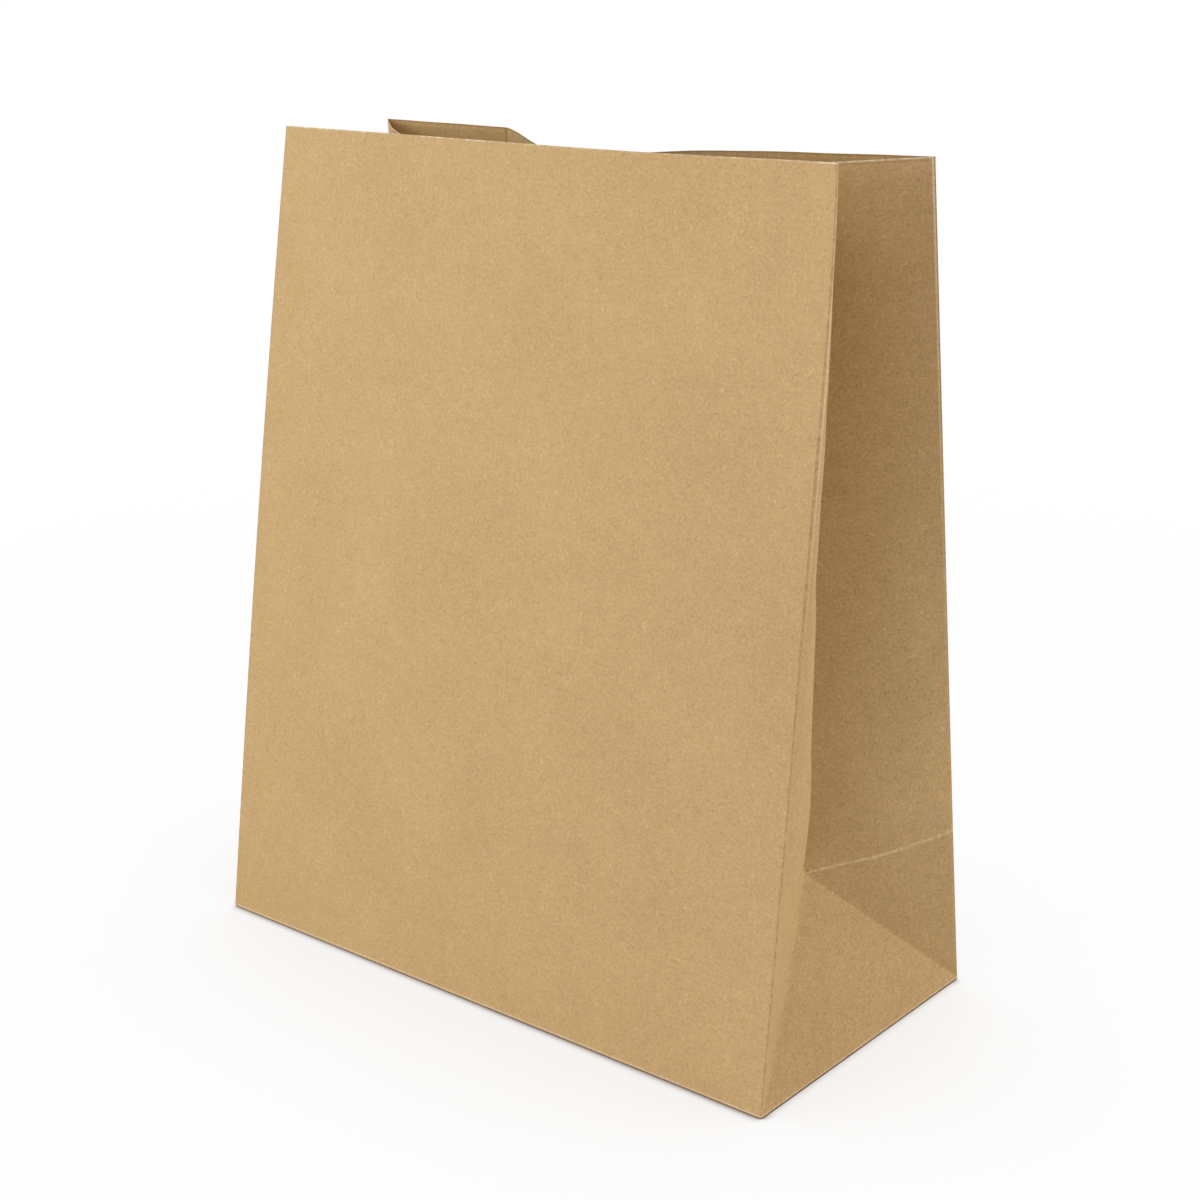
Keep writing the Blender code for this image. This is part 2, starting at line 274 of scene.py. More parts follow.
def backRim(u):
    # the wall keeps its height above the level crease, so where it is pushed in it ends lower
    below = between(left.backKnee, right.backKnee, u / bag["width"])
    x = rimStart[0] + np.interp(u, rimWalked, rimPath[:, 0])
    y = rimStart[1] + np.interp(u, rimWalked, rimPath[:, 1])
    wall = bag["height"] - halfDepth
    rise = np.sqrt(wall ** 2 - (x - below[:, 0]) ** 2 - (y - below[:, 1]) ** 2)
    return np.stack([x, y, below[:, 2] + rise], 1)


mouthCorners = backRim(np.array([0.0, bag["width"]]))
left.closeMouth(mouthCorners[0], bag["bows"][0])
right.closeMouth(mouthCorners[1], bag["bows"][1])
uprightRight = right.backTop - right.backBase
uprightRight = uprightRight / np.linalg.norm(uprightRight)


def frontWall(u, v):
    # Straight lines between the two front folds, then moved. The bulge is a half sine across the
    # wall times a quarter sine up it, the belly a skewed half sine across times a half sine up.
    points = between(left.frontFold(v), right.frontFold(v), u / bag["width"])
    share, rise = np.clip(u / bag["width"], 0, 1), np.clip(v / bag["height"], 0, 1)
    points[:, 1] -= bag["frontBulge"] * np.sin(np.pi / 2 * rise) * np.sin(np.pi * share)
    skewed = np.sin(np.pi * share ** bag["bellySkew"])
    points[:, 1] -= bag["frontBelly"] * np.sin(np.pi * rise) * skewed
    # the dip of the rim is a squared sine along it and dies away downwards
    fading = np.exp((np.minimum(v, bag["height"]) - bag["height"]) / bag["dipReach"])
    points[:, 2] -= bag["rimDip"] * np.sin(np.pi * share ** bag["dipSkew"]) ** 2 * fading
    return points


def backWall(u, v):
    # Straight lines up to the level crease and on to the rim. u runs from the wall's left fold,
    # seen from the front, and the glued lap stands proud by the paper's thickness.
    share = u / bag["width"]
    knee = between(left.backKnee, right.backKnee, share)
    foot = between(between(left.backBase, right.backBase, share), knee, v / halfDepth)
    wall = between(knee, backRim(u), (v - halfDepth) / (bag["height"] - halfDepth))
    points = np.where((v < halfDepth)[:, None], foot, wall)
    start, cut = bag["seamStart"], bag["cutEdge"]
    end = start + bag["seamLap"]
    seam = (start - cut, start, end, end + cut, end + bag["seamEase"])
    points[:, 1] += np.interp(u, seam, (0, 1, 1, 1, 0)) * bag["paper"]
    return points


def sagAt(u, v):
    # a half sine across the back half of the right gusset, which dies away up and down as a bell
    across = np.clip((period - u) / halfDepth, 0, 1)
    bell = np.exp(-((v - halfDepth) / bag["sagReach"]) ** 2)
    return np.where(v > 0, bag["creaseSag"] * np.sin(np.pi * across ** bag["sagSkew"]) * bell, 0.0)


def sheetPoint(u, v):
    # The folded sheet: u runs round the bag from the left front fold, v up from the bottom folds.
    # Below the bottom folds the outline of the base is drawn in by as much as v is below zero.
    u = np.mod(u + hair, around)
    under = np.maximum(-v, 0)
    sag = sagAt(u, v)
    v = np.maximum(v + sag, 0)
    points = np.zeros((len(u), 3))
    w = np.mod(u, period) - bag["width"]
    isGusset = w > 0
    isBack = u >= period
    front = ~isGusset & ~isBack
    points[front] = frontWall(u[front], v[front])
    behind = ~isGusset & isBack
    points[behind] = backWall(bag["width"] - (u[behind] - period), v[behind])
    for side, part in ((right, isGusset & ~isBack), (left, isGusset & isBack)):
        first = w < halfDepth
        for back in (False, True):
            here = part & (first == ((side is right) != back))
            across = np.where(first, w, bag["depth"] - w)
            steep = here & (across >= v)
            points[steep] = side.triangle(across[steep], v[steep], back)
            upper = here & (across < v)
            points[upper] = side.half(across[upper], v[upper], back)
    points -= sag[:, None] * uprightRight
    for axis, reach in ((0, bag["width"] / 2), (1, halfDepth)):
        drawnIn = np.clip(points[:, axis], under - reach, reach - under)
        points[:, axis] = np.where(under > 0, drawnIn, points[:, axis])
    return points


def ringSize(u, v):
    # the usual radius, and more beside a front diagonal, most halfway along it
    past = np.mod(u + hair, period) - bag["width"]
    fromFront = np.where(u < period, past, bag["depth"] - past)
    halfwaySine = np.sin(np.pi * np.clip(v / halfDepth, 0, 1))
    largest = bag["softDiagonal"] * halfwaySine ** bag["softRise"]
    away = np.abs(fromFront - v) / np.sqrt(2) / np.maximum(largest, sliver)
    near = np.clip(bag["softReach"] - away, 0, 1)
    near = np.where((past > 0) & (v > 0) & (v < halfDepth), near, 0)
    return bag["foldRadius"] + largest * eased(near)


def softened(u, v):
    # the mean of the folded sheet at a place and on rings round it, which rounds every fold
    size = ringSize(u, v)
    turn = np.arange(bag["ringPlaces"]) * 2 * np.pi / bag["ringPlaces"]
    total = sheetPoint(u, v)
    for share in bag["rings"]:
        for angle in turn + share * np.pi / 4:
            reach = size * share
            total = total + sheetPoint(u + reach * np.cos(angle), v + reach * np.sin(angle))
    return total / (1 + bag["ringPlaces"] * len(bag["rings"]))


def foldDistance(u, v):
    # how far a place on the sheet is from its nearest fold
    place = np.mod(u, period)
    past = place - bag["width"]
    walls = np.minimum(np.minimum(place, np.abs(past)), period - place)
    w = halfDepth - np.abs(past - halfDepth)
    diagonal = np.where(v < halfDepth, np.abs(w - v) / np.sqrt(2), 1.0)
    gusset = np.minimum(np.abs(w - halfDepth), diagonal)
    return np.minimum(walls, np.where(past > 0, gusset, 1.0))


def cockled(u, v):
    # slow waves of a sheet that has taken up damp: a sum of sines in random directions, which
    # fade towards the folds, and a small ripple that grows towards the cut rim
    random = np.random.default_rng(bag["seed"])
    height = np.zeros(len(u))
    turn = bag["cockleTurn"]
    for _ in range(bag["cockleWaves"]):
        length = random.uniform(*bag["cockleLengths"])
        lie = random.uniform(-turn, turn) + np.pi * random.integers(0, 2) / 2
        phase = random.uniform(0, 2 * np.pi)
        height += length * np.sin(2 * np.pi * (u * np.cos(lie) + v * np.sin(lie)) / length + phase)
    height *= bag["cockle"] / (bag["cockleUsual"] * np.sqrt(bag["cockleWaves"] / 2))
    fade = np.clip(foldDistance(u, v) / bag["cockleFade"], 0, 1)
    below = bag["height"] - v
    loss, reach = bag["calmRim"]
    rise = np.clip(v / bag["cockleRise"], 0, 1) * (1 - loss * np.exp(-below / reach))
    ripple = sum(np.sin(u * pace + start) for pace, start in bag["rimRipples"]) / 2
    ripple = ripple * bag["rimWave"] * np.exp(-below / bag["rimWaveReach"])
    return (height * rise + ripple) * eased(fade)


def lines(length):
    # places along a panel: evenly spread, with a few close to both ends
    close = np.array(bag["close"])
    even = np.linspace(0, length, int(round(length / bag["step"])) + 1)
    even = even[(even > bag["closeReach"]) & (even < length - bag["closeReach"])]
    return np.concatenate([[0.0], close, even, length - close[::-1], [length]])


def gridFaces(rows, columns, order):
    # the four corners of each cell of a grid, in this order round it
    corner = np.arange((rows - 1) * columns).reshape(rows - 1, columns)[:, :-1].ravel()
    steps = {"here": 0, "right": 1, "across": columns + 1, "above": columns}
    return np.stack([corner + steps[name] for name in order], 1)


def patch(u, v):
    # a grid of places on the sheet, rows upwards and columns to the right seen from outside
    u, v = np.broadcast_arrays(u, v)
    flatU, flatV = u.ravel().copy(), v.ravel().copy()
    flatV -= sagAt(flatU, flatV)
    points = softened(flatU, flatV)
    reach = bag["probe"]
    across = sheetPoint(flatU + reach, flatV) - sheetPoint(flatU - reach, flatV)
    up = sheetPoint(flatU, flatV + reach) - sheetPoint(flatU, np.maximum(flatV - reach, 0))
    outward = np.cross(across, up)
    outward /= np.maximum(np.linalg.norm(outward, axis=1), speck)[:, None]
    points += outward * (cockled(flatU, flatV) * (flatV > 0))[:, None]
    faces = gridFaces(*u.shape, ("here", "right", "across", "above"))
    return points, faces, np.stack([flatU, flatV], 1)


def bagPatches():
    # the walls and gussets above the level crease, the two feet of the walls, the three parts of
    # each gusset's foot, and a strip of the base that turns in under each bottom fold
    width, depth = bag["width"], bag["depth"]
    wall, half = lines(width), lines(halfDepth)
    lap = bag["seamLap"]
    seam = np.array([-bag["cutEdge"], 0, lap, lap + bag["cutEdge"], lap + bag["seamEase"]])
    seam = width - (seam + bag["seamStart"])
    clear = np.min(np.abs(wall[:, None] - seam[None]), 1) > bag["lineGap"]
    backColumns = np.sort(np.concatenate([wall[clear], seam]))
    upRows = halfDepth + lines(bag["height"] - halfDepth)[:, None]
    footRows = half[:, None]
    underRows = -np.array(bag["turnUnder"])[:, None]
    full = np.concatenate([half, halfDepth + half[1:]])
    starts = {"front": 0.0, "right": width, "back": period, "left": period + width}
    columns = {"front": wall, "right": full, "back": backColumns, "left": full}
    found = []
    for name, start in starts.items():
        found.append(patch(start + columns[name][None], upRows))
        found.append(patch(start + columns[name][None], underRows))
    for name in ("front", "back"):
        found.append(patch(starts[name] + columns[name][None], footRows))
    share, span = half / halfDepth, full / halfDepth
    for name in ("right", "left"):
        start = starts[name]
        found.append(patch(start + share[None] * footRows, footRows))
        found.append(patch(start + depth - share[::-1][None] * footRows, footRows))
        found.append(patch(start + footRows + (halfDepth - footRows) * span[None], footRows))
    return found


def flapPatch(toward, level):
    # A glued flap of the base: it turns under a bottom fold in a quarter of an ellipse, then runs
    # flat, and its ends lie on diagonals. toward is 1 for the flap under the front wall.
    turning, running, crossing = bag["flapSteps"]
    turn = np.linspace(0, np.pi / 2, turning)
    inset = bag["flapInset"] + (1 - np.cos(turn)) * bag["flapTurn"]
    drop = (baseZ + bag["flapRise"] - level) * (1 - np.sin(turn)) + level
    flat = np.linspace(bag["flapFlat"], halfDepth + bag["flapLap"] / 2, running)
    run = np.concatenate([inset, flat])
    z = np.concatenate([drop, np.full(running, level)])
    share = np.linspace(-1, 1, crossing)
    span = bag["width"] / 2 - bag["flapEnd"] - np.maximum(run - bag["flapEnd"], 0)
    x = share[None] * span[:, None]
    y = np.broadcast_to((run - halfDepth)[:, None] * toward, x.shape)
    if toward < 0:
        x = -x
    points = np.stack([x, y, np.broadcast_to(z[:, None], x.shape)], -1).reshape(-1, 3)
    faces = gridFaces(*x.shape, ("here", "above", "across", "right"))
    sheet = np.stack([np.broadcast_to((share * bag["width"] / 2)[None], x.shape).ravel(),
                      np.broadcast_to(-run[:, None], x.shape).ravel()], 1)
    return points, faces, sheet


def join(patches):
    points, faces, places, count = [], [], [], 0
    for one in patches:
        points.append(one[0])
        faces.append(one[1] + count)
        places.append(one[2])
        count += len(one[0])
    return np.concatenate(points), np.concatenate(faces), np.concatenate(places)


def onBaseOutline(edge):
    # an open edge of the strips that turn in under the bottom folds
    flat, inside = 0.00002, 0.001
    return edge.is_boundary and all(
        abs(end.co.z - baseZ) < flat
        and abs(end.co.x) < bag["width"] / 2 - inside
        and abs(end.co.y) < halfDepth - inside
        for end in edge.verts)


def makeBag():
    outer, covered = bag["flapLevels"]
    points, faces, places = join(bagPatches() + [flapPatch(1, outer), flapPatch(-1, covered)])
    mesh = bpy.data.meshes.new("paper_bag_sheet")
    mesh.from_pydata(points, [], faces)
    mesh.uv_layers.new(name="sheet")
    corner = np.zeros(len(mesh.loops), np.int32)
    mesh.loops.foreach_get("vertex_index", corner)
    mesh.uv_layers["sheet"].data.foreach_set("uv", places[corner].astype(np.float32).ravel())

    same = 0.000002                       # points nearer than this are one
    bm = bmesh.new()
    bm.from_mesh(mesh)
    bmesh.ops.remove_doubles(bm, verts=bm.verts, dist=same)
    outline = [edge for edge in bm.edges if onBaseOutline(edge)]
    for face in bmesh.ops.contextual_create(bm, geom=outline)["faces"]:
        face.normal_update()
        if face.normal.z > 0:
            face.normal_flip()
    bmesh.ops.dissolve_degenerate(bm, dist=same, edges=bm.edges)
    bm.to_mesh(mesh)
    bm.free()
    mesh.shade_smooth()
    piece = bpy.data.objects.new("paper_bag_sheet", mesh)
    bpy.context.scene.collection.objects.link(piece)
    wall = piece.modifiers.new("paper", "SOLIDIFY")
    wall.thickness = bag["paper"]
    wall.offset = -1.0
    return piece


# From here on: materials, and the small tools that build their nodes.

class Number:
    # an output of a node; where it is a number, sums, products and the rest add Math nodes
    def __init__(self, graph, socket):
        self.graph = graph
        self.socket = socket

    def math(self, operation, *others):
        values = dict(enumerate((self, *others)))
        return self.graph.node("ShaderNodeMath", {"operation": operation}, values)

    def __add__(self, other):
        return self.math("ADD", other)

    def __sub__(self, other):
        return self.math("SUBTRACT", other)

    def __rsub__(self, other):
        return self.graph.node("ShaderNodeMath", {"operation": "SUBTRACT"}, {0: other, 1: self})

    def __mul__(self, other):
        return self.math("MULTIPLY", other)

    def __truediv__(self, other):
        return self.math("DIVIDE", other)

    def __pow__(self, other):
        return self.math("POWER", other)

    def __abs__(self):
        return self.math("ABSOLUTE")

    __radd__ = __add__
    __rmul__ = __mul__

    def over(self, other):
        return self.math("GREATER_THAN", other)

    def under(self, other):
        return self.math("LESS_THAN", other)

    def low(self, other):
        return self.math("MINIMUM", other)

    def high(self, other):
        return self.math("MAXIMUM", other)

    def ramp(self, start, end, low=0.0, high=1.0):
        # smooth step from low at start to high at end
        settings = {"interpolation_type": "SMOOTHSTEP", "clamp": True}
        values = {0: self, 1: start, 2: end, 3: low, 4: high}
        return self.graph.node("ShaderNodeMapRange", settings, values)

    def other(self, output):
        # another output of the same node
        return Number(self.graph, self.socket.node.outputs[output])


class Graph:
    # a node tree: a node is added by its type, its settings, and the values or links of its inputs
    def __init__(self, tree):
        self.tree = tree

    def node(self, kind, settings=None, values=None, output=0):
        made = self.tree.nodes.new(kind)
        for name, value in (settings or {}).items():
            setattr(made, name, value)
        for name, value in (values or {}).items():
            self.feed(made.inputs[name], value)
        return Number(self, made.outputs[output])

    def feed(self, socket, value):
        if isinstance(value, Number):
            self.tree.links.new(value.socket, socket)
        else:
            socket.default_value = value

    def vector(self, operation, first, second=None, output=0):
        values = {0: first} if second is None else {0: first, 1: second}
        return self.node("ShaderNodeVectorMath", {"operation": operation}, values, output)

    def mix(self, share, first, second):
        values = {0: share, 6: first, 7: second}
        return self.node("ShaderNodeMix", {"data_type": "RGBA"}, values, 2)

    def join(self, channels):
        return self.node("ShaderNodeCombineXYZ", {}, dict(enumerate(channels)))

    def blend(self, share, first, second):
        return self.node("ShaderNodeMixShader", {}, {0: share, 1: first, 2: second})

    def seen(self):
        # 1 for what the camera sees, straight or by way of gloss or glass
        camera = self.node("ShaderNodeLightPath", output="Is Camera Ray")
        return camera.high(camera.other("Is Glossy Ray")).high(camera.other("Is Transmission Ray"))


class Finish(Graph):
    def __init__(self, name):
        self.material = bpy.data.materials.new(name)
        self.material.use_nodes = True
        super().__init__(self.material.node_tree)
        self.shader = self.tree.nodes["Principled BSDF"]

    def dress(self, values):
        for name, value in values.items():
            self.feed(self.shader.inputs[name], value)


kraft = {
    "pulp": (0.616, 0.413, 0.197, 1.0),
    "fibreLight": (0.76, 0.56, 0.33, 1.0),
    "fibreDark": (0.44, 0.25, 0.09, 1.0),
    "wearAndHighlight": (0.82, 0.62, 0.39, 1.0),
    "cut": (0.88, 0.74, 0.54, 1.0),
    # painted shade: the colour of every dark line below
    "grooveShade": (0.38, 0.20, 0.07, 1.0),
    "fibreShare": 0.2,                    # how far each of those colours covers the one below it
    "fleckShare": 0.5,
    "wearAndHighlightShare": 0.75,
    "paintedShadeShare": 0.62,
    "cutShare": 0.8,
    "toneColour": (1.0, 1.18, 1.5),       # a paler spot is also less yellow
    "innerBounceTint": (0.03, 0.0, -0.10),      # painted bounce light: the sheet's inner side is a little yellower, for the warm light the paper throws about inside the bag
    "grain": 0.42,
    "clouds": 0.15,
    "blotches": 0.13,
    "curls": 0.11,
    "curlWarp": 1.3,
    "gussetTone": 0.3,                    # the gussets show all these more by this share
    "relief": 0.00004,                    # height of the grain
    "blotchRelief": 1.6,                  # blotches and curls, as shares of it
    "curlRelief": 0.4,
    "cloudRelief": 0.0002,
    "grooveRelief": 0.00006,
    "wobble": 0.0012,                     # no crease is quite straight
    "levelWidth": (0.0015, 0.016),        # of the level crease, and its loss into the gusset
    "rimWidth": (0.000225, 0.000585),     # bleached edge of the mouth, and painted shade along the back wall's rim: all of it, none of it
    "grooveInset": 0.00035,               # the groove lies this far inside a front fold: a dent, with painted shade in it
    "besideInset": 0.0009,                # and a painted highlight this far round it, in the gusset, where the fold's roll catches the light
    "turnedInset": 0.0013,                # a pale line below the back rim
    "edgeInset": 0.0010,                  # painted shade: a dark line below the gusset's rim
    "cutFace": 0.00003,                   # this near the sheet's upper end is its cut face
    "roughness": 0.86,
    "specular": 0.25,
}
noises = {
    # name: scale, detail and roughness of a noise on the flat sheet, and its shift there
    "clouds": (22.0, 3.0, 0.55, 0.0, 0.0),
    "blotches": (190.0, 2.0, 0.6, 0.0, 0.0),
    "grain": (900.0, 2.0, 0.75, 0.0, 0.0),
    "patchy": (380.0, 3.0, 0.6, 0.0, 0.0),
    "breaks": (330.0, 1.0, 0.5, 0.0, 0.0),
    "flecks": (1250.0, 0.0, 0.5, 0.71, 0.53),
    "paleCurls": (430.0, 0.0, 0.5, 0.37, 0.11),
    "darkCurls": (460.0, 0.0, 0.5, 0.71, 0.53),
}
marks = {
    # name: full strength up to one distance from its line and none past another, then from what
    # to what value of the patchy noise its strength goes from one share to another
    "sloping": (0.0, 0.00042, 0.40, 0.62, 0.05, 0.60),
    "bottom": (0.0004, 0.0011, 0.30, 0.50, 0.50, 0.95),
    "upright": (0.0, 0.00042, 0.42, 0.60, 0.05, 0.45),
    "middle": (0.0, 0.00042, 0.45, 0.62, 0.0, 0.30),
    "turned": (0.0002, 0.0006, 0.40, 0.60, 0.10, 0.40),
    "grooveShade": (0.0, 0.00042, 0.62, 0.40, 0.45, 1.0),
    "underRimShade": (0.0001, 0.0005, 0.36, 0.58, 0.75, 0.40),
}
ramps = {
    # name: where a smooth step starts and ends, and the values before and after it
    "curls": (0.0, 0.045, 1.0, 0.0),      # half width of a curl, as a span of its noise
    "longFibres": (0.57, 0.66, 0.0, 1.0),
    "flecks": (0.74, 0.82, 0.0, 1.0),
    "levelBreaks": (0.36, 0.58, 0.60, 1.35),
    "beside": (0.0001, 0.0006, 1.0, 0.0),
    "besideUp": (0.12, 0.29, 0.2, 1.4),   # painted highlight up the bag, and its brighter part near the mouth
    "besideMouth": (0.26, 0.30, 0.0, 0.6),
    "creaseShade": (0.0, 0.0012, 1.0, 0.0),
    "creaseShadeUp": (0.285, 0.302, 0.35, 1.3),
    "creaseShadeLeft": (0.10, 0.16, 0.2, 1.0),   # painted crease shade; the right one hardly shows
    "edgeBreaks": (0.36, 0.56, 0.35, 1.25),
    "rubbed": (0.46, 0.58, 0.25, 1.2),
    "rubbedClouds": (0.42, 0.56, 0.25, 1.0),
    "frayed": (0.0008, 0.0035, 1.25, 0.0),
}


def kraftFinish():
    paper = Finish("kraft_paper")
    place = paper.node("ShaderNodeUVMap", {"uv_map": "sheet"})
    u = paper.node("ShaderNodeSeparateXYZ", {}, {0: place}, "X")
    v = u.other("Y")

    def noise(name, warp=0.0):
        scale, detail, rough, *shift = noises[name]
        spot = place
        if any(shift):
            spot = paper.node("ShaderNodeMapping", {}, {"Vector": place, "Location": (*shift, 0.0)})
        values = {"Vector": spot, "Scale": scale, "Detail": detail, "Roughness": rough,
                  "Distortion": warp}
        return paper.node("ShaderNodeTexNoise", {}, values)

    # pulp: slow clouds, blotches, a fine grain, and curled fibres as level lines of a warped noise
    clouds, blotches, grain = noise("clouds"), noise("blotches"), noise("grain")
    paleCurls, darkCurls = (
        abs(noise(name, kraft["curlWarp"]) - 0.5).ramp(*ramps["curls"])
        for name in ("paleCurls", "darkCurls"))
    longFibres = paleCurls * noise("breaks").ramp(*ramps["longFibres"])
    flecks = noise("flecks").ramp(*ramps["flecks"])
    tone = ((clouds - 0.5) * kraft["clouds"] + (blotches - 0.5) * kraft["blotches"]
            + (grain - 0.5) * kraft["grain"] + (paleCurls - darkCurls) * kraft["curls"])

    # distances to the folds, from the place on the flat sheet
    inPair = u.math("MODULO", period)                       # a wall and the gusset after it
    past = inPair - bag["width"]
    inGusset, isFront = inPair.over(bag["width"]), u.under(bag["width"])
    inBack = u.over(period) * u.under(period + bag["width"])
    tone = tone * (1 + inGusset * kraft["gussetTone"])
    w = halfDepth - abs(past - halfDepth)                   # into the gusset, from its nearest fold
    below = bag["height"] - v                               # down from the cut edge of the mouth
    wallFold = abs(inPair).low(abs(past)).low(abs(inPair - period))
    diagonal = abs(w - v) * np.sqrt(0.5) + (1 - v.under(halfDepth) * inGusset)
    gussetCrease = abs(w - halfDepth) + (1 - inGusset)
    onCrease = u.over(bag["width"] + halfDepth) * u.under(around - halfDepth)
    across = ((period - u) / halfDepth).high(0.0).low(1.0)
    sag = (across ** bag["sagSkew"] * np.pi).math("SINE") * bag["creaseSag"]
    wobble = (blotches - 0.5) * kraft["wobble"]
    levelCrease = abs(v + sag + wobble - halfDepth) + (1 - onCrease)
    frontInset = abs(inPair.low(bag["width"] - inPair) - kraft["grooveInset"]) + (1 - isFront)
    wallU = u - period
    pressed = abs(wallU.low(bag["width"] - wallU) - halfDepth) + wallU.under(0.0)

    patchy = noise("patchy")

    def mark(name, distance):
        full, none, *strength = marks[name]
        return distance.ramp(full, none, 1.0, 0.0) * patchy.ramp(*strength)

    # rubbed pale lines along the folds, and a painted highlight on the roll beside each gusset fold
    width, loss = kraft["levelWidth"]
    level = levelCrease.ramp(0.0, width - w * loss, 1.0, 0.0)
    level = level * patchy.ramp(*ramps["levelBreaks"])
    beside = abs(w - kraft["besideInset"]).ramp(*ramps["beside"]) * inGusset
    beside = beside * v.ramp(*ramps["besideUp"])
    turned = mark("turned", abs(below - kraft["turnedInset"])) * inBack
    wearAndHighlight = level.high(mark("sloping", diagonal)).high(mark("bottom", abs(v)))
    wearAndHighlight = wearAndHighlight.high(mark("upright", wallFold)).high(mark("middle", gussetCrease))
    wearAndHighlight = wearAndHighlight.high(beside).high(turned)

    # painted shade as dark lines: in the groove beside a front fold, in the crease where the folded
    # gussets lay, and below the mouth's edges
    # painted shade in the groove beside a front fold, which the bump also dents
    grooveShade = mark("grooveShade", frontInset)
    # painted shade in the back wall's crease near the mouth, where the folded gussets lay
    creaseShade = pressed.ramp(*ramps["creaseShade"]) * v.ramp(*ramps["creaseShadeUp"])
    creaseShade = creaseShade * wallU.ramp(*ramps["creaseShadeLeft"])
    edge = below.ramp(*kraft["rimWidth"], 1.0, 0.0)
    underRimShade = mark("underRimShade", abs(below - kraft["edgeInset"])) * inGusset
    # along the back wall's rim the edge mask is painted shade
    paintedShade = grooveShade.high(creaseShade).high(underRimShade).high(edge * inBack)

    # the bleached edge of the mouth, frayed at the right front corner, its cut face, and the
    # brighter painted highlight on the roll near the mouth
    rubbed = isFront * patchy.ramp(*ramps["rubbed"]) * clouds.ramp(*ramps["rubbedClouds"])
    frayed = abs(u - bag["width"]).ramp(*ramps["frayed"])
    bleachedAndHighlight = edge * (inGusset * patchy.ramp(*ramps["edgeBreaks"])).high(rubbed).high(frayed)
    bleachedAndHighlight = bleachedAndHighlight.high(beside * (1 - isFront) * v.ramp(*ramps["besideMouth"]))
    bleachedAndHighlight = bleachedAndHighlight.high(v.over(bag["height"] - kraft["cutFace"]) * (1 - inBack))

    # the inner side is where the surface faces the bag's own upright axis
    spot = paper.node("ShaderNodeTexCoord", output="Object")
    plan = paper.vector("MULTIPLY", spot, (1.0, 1.0, 0.0))
    isInner = paper.vector("DOT_PRODUCT", plan, spot.other("Normal"), "Value").under(0.0)

    colour = paper.mix(longFibres * kraft["fibreShare"], kraft["pulp"], kraft["fibreLight"])
    colour = paper.mix(flecks * kraft["fleckShare"], colour, kraft["fibreDark"])
    colour = paper.mix(wearAndHighlight * kraft["wearAndHighlightShare"], colour, kraft["wearAndHighlight"])
    colour = paper.mix(paintedShade * kraft["paintedShadeShare"], colour, kraft["grooveShade"])
    colour = paper.mix(bleachedAndHighlight * kraft["cutShare"], colour, kraft["cut"])
    # painted bounce light: the inner side's colour is made yellower
    channels = zip(kraft["toneColour"], kraft["innerBounceTint"])
    tones = paper.join((1 + tone * own) * (1 + isInner * inner) for own, inner in channels)
    heights = grain + blotches * kraft["blotchRelief"] + paleCurls * kraft["curlRelief"]
    relief = heights * kraft["relief"] + clouds * kraft["cloudRelief"]
    relief = relief - grooveShade * kraft["grooveRelief"]
    bump = paper.node("ShaderNodeBump", {}, {"Strength": 1.0, "Distance": 1.0, "Height": relief})
    paper.dress({"Base Color": paper.vector("MULTIPLY", colour, tones), "Normal": bump,
                 "Roughness": kraft["roughness"], "Specular IOR Level": kraft["specular"]})
    return paper.material


piece = makeBag()
piece.data.materials.append(kraftFinish())
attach(piece, "root")
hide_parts("paper_bag")
print("bag:", len(piece.data.polygons), "faces in the sheet")


# From here on: floor, world, lamps and camera.

studio = {
    "floorSize": 60.0,
    "floorGrey": 0.86,
    "floorWhite": 0.97,        # share of plain white in what the camera sees of the floor,
    "whiteReach": (0.25, 1.0),            # which grows to 1 between these distances
    "shadeTilt": (-0.35, 0.1, 1.0),       # wide shade: where the open room lies
    "shadeReach": 0.13,
    "shade": 0.255,
    "shadePower": 1.6,
    "shadeColour": (1.0, 1.3, 1.5),
    "shadeSamples": 5,
    "contact": (4.1, 4.45, 4.65),         # narrow shade at the foot
    "contactReach": 0.005,
    "contactPower": 2.2,
    "contactDark": (0.12, 0.08, 0.06),    # the darkest it gets
    "contactSamples": 16,
    "worldGrey": 0.26,                    # even light from all round
    "lampDistance": 1.7,
    "lampSize": 0.9,
    "lampTarget": (0, 0, 0.15),
    "cameraPlace": (0.46871182, -0.56150877, 0.36300792),
    "cameraYaw": 39.2902,
    "cameraPitch": -17.1619,
    "cameraRoll": 0.1876,
    "lens": 62.8645,
    "sensor": 36.0,
    "farClip": 200.0,
}
lamps = {
    # name: compass angle from -Y towards +X, height angle, watts, colour
    "leftKey": (-70, 12, 5.7, (1.0, 1.0, 1.0)),
    "frontKey": (-40, 12, 5.2, (1.0, 1.0, 1.0)),
    "frontFill": (-10, 12, 3.3, (1.0, 1.0, 1.0)),
    "high": (12, 45, 6.1, (1.0, 1.0, 1.0)),
    "backRight": (130, 12, 11.6, (1.0, 0.96, 0.87)),
    "top": (0, 90, 4.5, (1.0, 0.91, 0.71)),
}


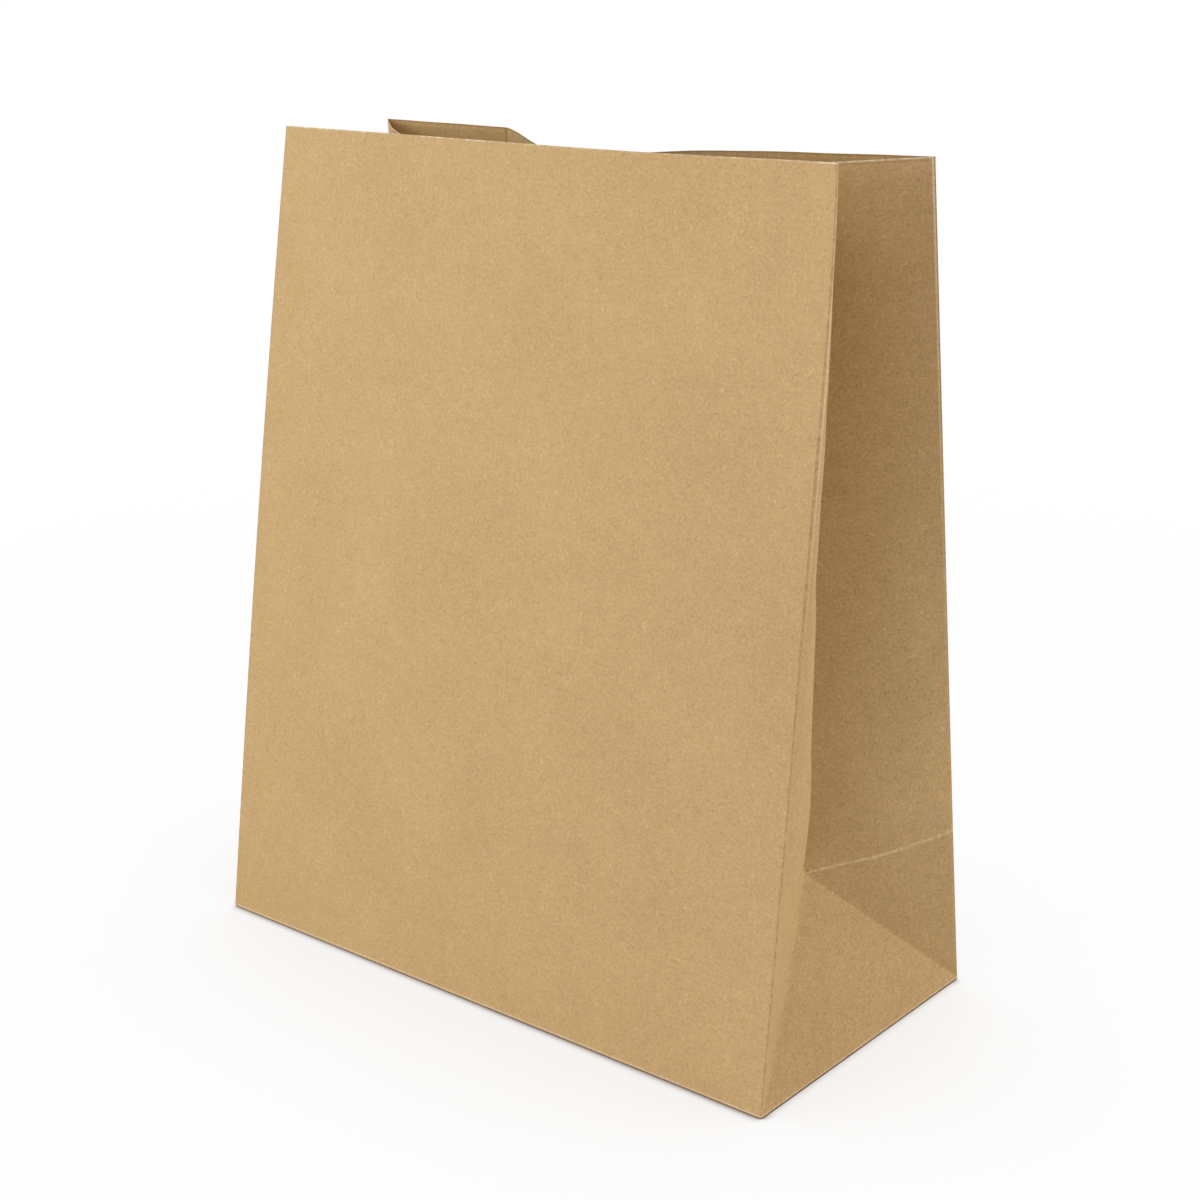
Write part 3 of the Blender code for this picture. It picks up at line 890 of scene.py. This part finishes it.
def makeFloor():
    size = studio["floorSize"] / 2
    corners = [(-size, -size, 0), (size, -size, 0), (size, size, 0), (-size, size, 0)]
    mesh = bpy.data.meshes.new("floor")
    mesh.from_pydata(corners, [], [(0, 1, 2, 3)])
    floor = bpy.data.objects.new("floor", mesh)
    bpy.context.scene.collection.objects.link(floor)
    finish = Finish("floor_white")
    grey = studio["floorGrey"]
    finish.dress({"Base Color": (grey, grey, grey, 1), "Roughness": 1.0, "Specular IOR Level": 0.0})
    # What the camera sees is white, less what the bag hides of the room: a wide soft shade, a
    # little warm from the paper and deeper on the lamps' far side, and a narrow dark one at the
    # contact.
    tilt = Vector(studio["shadeTilt"]).normalized()
    wide = finish.node("ShaderNodeAmbientOcclusion", {"samples": studio["shadeSamples"]},
                       {"Distance": studio["shadeReach"], "Normal": tilt}, "AO")
    close = finish.node("ShaderNodeAmbientOcclusion", {"samples": studio["contactSamples"]},
                        {"Distance": studio["contactReach"]}, "AO")
    shade = (1 - wide) ** studio["shadePower"] * studio["shade"]
    touch = (1 - close) ** studio["contactPower"]
    channels = zip(studio["shadeColour"], studio["contact"], studio["contactDark"])
    lit = finish.join((1 - shade * soft) * (1 - touch * deep).high(least)
                      for soft, deep, least in channels)
    glow = finish.node("ShaderNodeEmission", {}, {"Color": lit})
    where = finish.node("ShaderNodeTexCoord", output="Object")
    away = finish.vector("LENGTH", where, output="Value")
    share = finish.seen() * away.ramp(*studio["whiteReach"], studio["floorWhite"], 1.0)
    surface = finish.blend(share, Number(finish, finish.shader.outputs[0]), glow)
    finish.feed(finish.tree.nodes["Material Output"].inputs["Surface"], surface)
    mesh.materials.append(finish.material)


def makeWorld():
    # grey light all round, and plain white for whatever the camera sees of it
    world = bpy.data.worlds.new("studio")
    world.use_nodes = True
    bpy.context.scene.world = world
    graph = Graph(world.node_tree)
    graph.tree.nodes.remove(graph.tree.nodes["Background"])
    white = {"Color": (1, 1, 1, 1)}
    grey = graph.node("ShaderNodeBackground", {}, {**white, "Strength": studio["worldGrey"]})
    plain = graph.node("ShaderNodeBackground", {}, white)
    surface = graph.blend(graph.seen(), grey, plain)
    graph.feed(graph.tree.nodes["World Output"].inputs["Surface"], surface)


def makeLamps():
    for name, (compass, height, watts, colour) in lamps.items():
        compass, height = np.radians(compass), np.radians(height)
        flat = np.cos(height)
        away = Vector((np.sin(compass) * flat, -np.cos(compass) * flat, np.sin(height)))
        data = bpy.data.lights.new(name, "AREA")
        data.shape = "DISK"
        data.size = studio["lampSize"]
        data.energy = watts
        data.color = colour
        lamp = bpy.data.objects.new(name, data)
        lamp.location = Vector(studio["lampTarget"]) + away * studio["lampDistance"]
        lamp.rotation_euler = (-away).to_track_quat("-Z", "Y").to_euler()
        bpy.context.scene.collection.objects.link(lamp)


def makeCamera():
    # turn looks along +Y with +Z up; a camera looks along its own -Z with +Y up
    turn = Matrix.Identity(4)
    for name, axis in (("cameraYaw", "Z"), ("cameraPitch", "X"), ("cameraRoll", "Y")):
        turn = turn @ Matrix.Rotation(np.radians(studio[name]), 4, axis)
    data = bpy.data.cameras.new("camera")
    data.lens = studio["lens"]
    data.sensor_width = studio["sensor"]
    data.clip_end = studio["farClip"]
    camera = bpy.data.objects.new("camera", data)
    place = Matrix.Translation(studio["cameraPlace"])
    camera.matrix_world = place @ turn @ Matrix.Rotation(np.pi / 2, 4, "X")
    bpy.context.scene.collection.objects.link(camera)
    bpy.context.scene.camera = camera


makeFloor()
makeWorld()
makeLamps()
makeCamera()
bpy.context.scene.view_settings.view_transform = "Standard"
print("studio: floor, world,", len(lamps), "lamps and camera")
